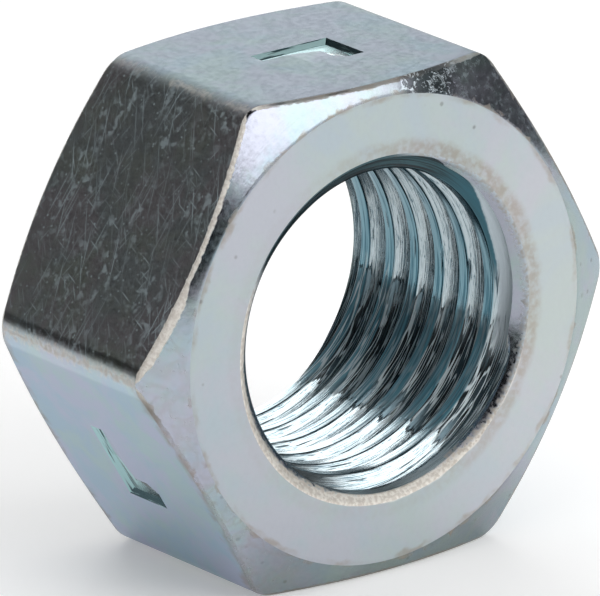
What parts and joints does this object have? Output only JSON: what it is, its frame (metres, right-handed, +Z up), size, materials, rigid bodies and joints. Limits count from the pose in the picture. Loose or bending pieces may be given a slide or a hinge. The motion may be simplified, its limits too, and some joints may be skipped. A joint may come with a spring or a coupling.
{
  "type": "fine thread nut",
  "caption": "Zinc-plated steel hexagon nut with a threaded through bore, cone-turned on both ends, with corner-shaped lock marks pressed into every other flat.",
  "frame": {"origin": "middle of the bore, halfway between the two bearing faces", "axes": "+Y along the bore from the front face to the back face, +Z up through a marked flat, +X across the corners; the nut stands on the flat at -Z"},
  "size_m": [0.0358, 0.0168, 0.0316],
  "materials": {
    "zinc_plated_steel": "bright zinc plate with a pale blue passivation, slightly stained"
  },
  "bodies": {
    "root": {"hex_nut": "zinc_plated_steel"}
  },
  "joints": []
}
